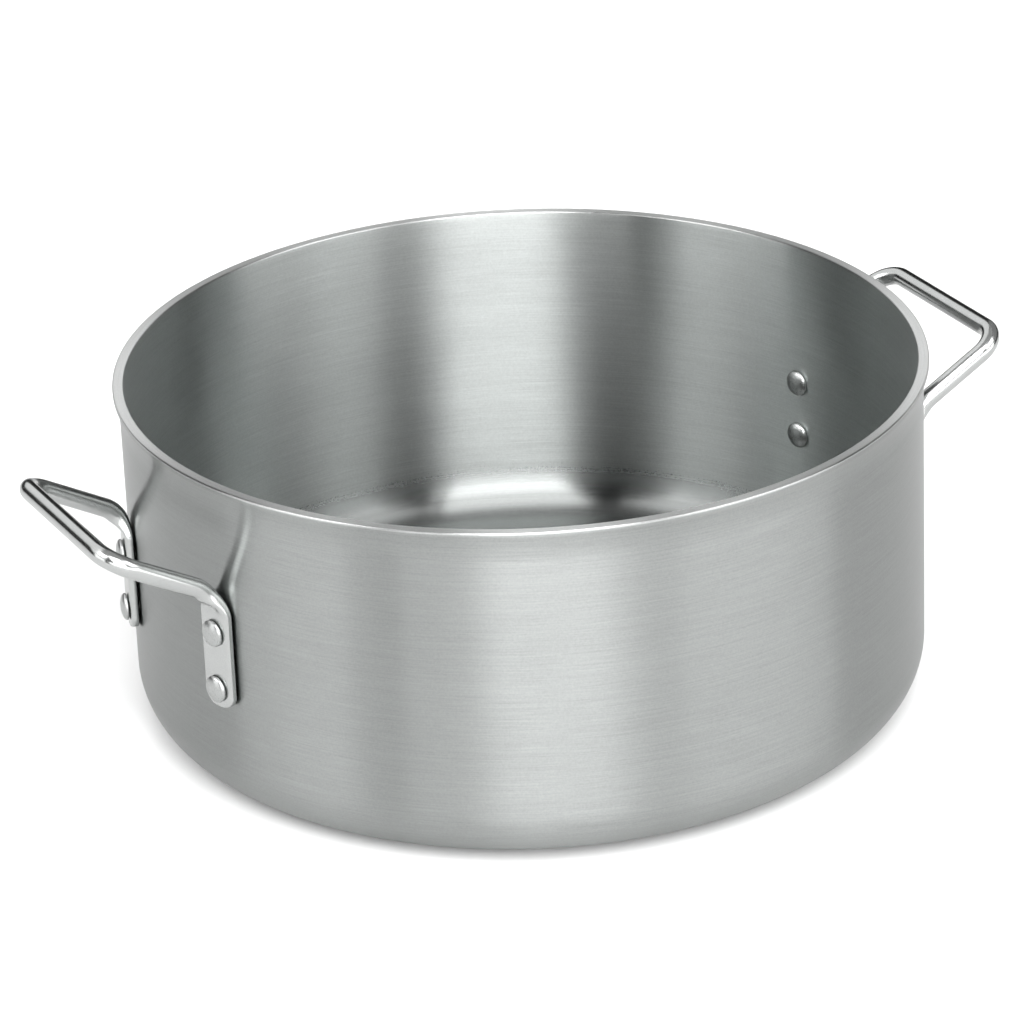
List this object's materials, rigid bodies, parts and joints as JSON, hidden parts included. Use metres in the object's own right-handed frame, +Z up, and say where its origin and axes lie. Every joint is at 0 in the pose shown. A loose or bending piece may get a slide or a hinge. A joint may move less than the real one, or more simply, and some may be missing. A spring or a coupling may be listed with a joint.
{
  "type": "brazier pot",
  "caption": "Low wide aluminium pot with an open top, a thick flared rim and riveted loop handles bent from round rod.",
  "frame": {"origin": "centre of the flat base underside", "axes": "+Z up along the pot's axis, +X along the line of the two handles"},
  "size_m": [0.5082, 0.4064, 0.18],
  "materials": {
    "shell_aluminium": "satin, brushed round the axis",
    "handle_aluminium": "polished rod, satin where flattened",
    "rivet_aluminium": "polished, slightly hammered heads"
  },
  "bodies": {
    "root": {"pot_shell": "shell_aluminium", "handle_left": "handle_aluminium", "handle_right": "handle_aluminium", "rivet_left_back_upper": "rivet_aluminium", "rivet_left_back_lower": "rivet_aluminium", "rivet_left_front_upper": "rivet_aluminium", "rivet_left_front_lower": "rivet_aluminium", "rivet_right_back_upper": "rivet_aluminium", "rivet_right_back_lower": "rivet_aluminium", "rivet_right_front_upper": "rivet_aluminium", "rivet_right_front_lower": "rivet_aluminium"}
  },
  "joints": []
}
